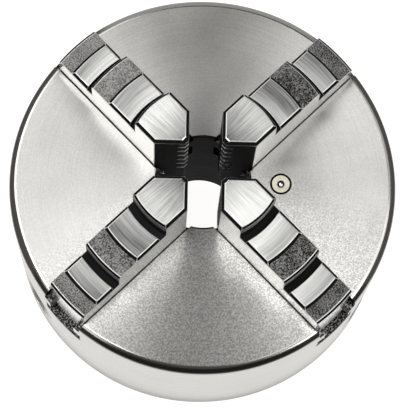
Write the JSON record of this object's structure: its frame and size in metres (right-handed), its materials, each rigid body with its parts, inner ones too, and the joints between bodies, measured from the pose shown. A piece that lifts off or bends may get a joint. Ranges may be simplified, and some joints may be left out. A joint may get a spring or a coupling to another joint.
{
  "type": "lathe chuck",
  "caption": "Self-centring scroll lathe chuck with stepped hard jaws, bevel pinion key drive, rear register recess and central through bore.",
  "frame": {"origin": "centre of the rear mounting face, on the spindle axis", "axes": "+Z along the spindle axis from the rear mounting face towards the jaws; +X through the oiler in the front face; the jaws stand at 45, 135, 225 and 315 degrees from +X towards +Y"},
  "size_m": [0.125, 0.125, 0.084],
  "materials": {
    "body_steel": "fine ground, satin",
    "cover_steel": "turned",
    "jaw_steel": "hardened, lands ground bright, treads blasted grey",
    "gear_steel": "machined",
    "black_steel": "black oxide",
    "brass": "bright turned",
    "bright_steel": "polished"
  },
  "bodies": {
    "body": {"chuck_body": "body_steel", "back_cover": "cover_steel", "cover_screw_1": "black_steel", "cover_screw_2": "black_steel", "cover_screw_3": "black_steel", "cover_screw_4": "black_steel", "cover_screw_5": "black_steel", "cover_screw_6": "black_steel", "pinion_retaining_screw_1": "black_steel", "pinion_retaining_screw_2": "black_steel", "pinion_retaining_screw_3": "black_steel", "oiler_nipple": "brass", "oiler_spring": "bright_steel"},
    "scroll": {"scroll_plate": "gear_steel"},
    "pinion_1": {"pinion_1": "gear_steel"},
    "pinion_2": {"pinion_2": "gear_steel"},
    "pinion_3": {"pinion_3": "gear_steel"},
    "jaw_1": {"jaw_1": "jaw_steel"},
    "jaw_2": {"jaw_2": "jaw_steel"},
    "jaw_3": {"jaw_3": "jaw_steel"},
    "jaw_4": {"jaw_4": "jaw_steel"},
    "oiler_ball": {"oiler_ball": "bright_steel"}
  },
  "joints": [
    {"name": "scroll_turn", "type": "hinge", "parent": "body", "child": "scroll", "pos_m": [0, 0, 0.04], "axis": [0, 0, 1], "range_deg": [-720, 414]},
    {"name": "jaw_1_slide", "type": "slide", "parent": "body", "child": "jaw_1", "axis": [0.7071, 0.7071, 0], "range_m": [-0.0069, 0.012]},
    {"name": "jaw_2_slide", "type": "slide", "parent": "body", "child": "jaw_2", "axis": [-0.7071, 0.7071, 0], "range_m": [-0.0069, 0.012]},
    {"name": "jaw_3_slide", "type": "slide", "parent": "body", "child": "jaw_3", "axis": [-0.7071, -0.7071, 0], "range_m": [-0.0069, 0.012]},
    {"name": "jaw_4_slide", "type": "slide", "parent": "body", "child": "jaw_4", "axis": [0.7071, -0.7071, 0], "range_m": [-0.0069, 0.012]},
    {"name": "pinion_1_turn", "type": "hinge", "parent": "body", "child": "pinion_1", "pos_m": [0, 0.05, 0.021], "axis": [0, 1, 0], "range_deg": [-2070, 3600]},
    {"name": "pinion_2_turn", "type": "hinge", "parent": "body", "child": "pinion_2", "pos_m": [-0.0433, -0.025, 0.021], "axis": [-0.866, -0.5, 0], "range_deg": [-2070, 3600]},
    {"name": "pinion_3_turn", "type": "hinge", "parent": "body", "child": "pinion_3", "pos_m": [0.0433, -0.025, 0.021], "axis": [0.866, -0.5, 0], "range_deg": [-2070, 3600]},
    {"name": "oiler_ball_press", "type": "slide", "parent": "body", "child": "oiler_ball", "axis": [0, 0, -1], "range_m": [0, 0.0006], "stiffness_N_per_m": 150, "springref_m": -0.0005, "deforming": ["oiler_spring"]}
  ],
  "couplings": [
    {"joint": "jaw_1_slide", "follows": "scroll_turn", "m_per_rad": -0.00095493},
    {"joint": "jaw_2_slide", "follows": "scroll_turn", "m_per_rad": -0.00095493},
    {"joint": "jaw_3_slide", "follows": "scroll_turn", "m_per_rad": -0.00095493},
    {"joint": "jaw_4_slide", "follows": "scroll_turn", "m_per_rad": -0.00095493},
    {"joint": "pinion_1_turn", "follows": "scroll_turn", "ratio": -5},
    {"joint": "pinion_2_turn", "follows": "scroll_turn", "ratio": -5},
    {"joint": "pinion_3_turn", "follows": "scroll_turn", "ratio": -5}
  ]
}
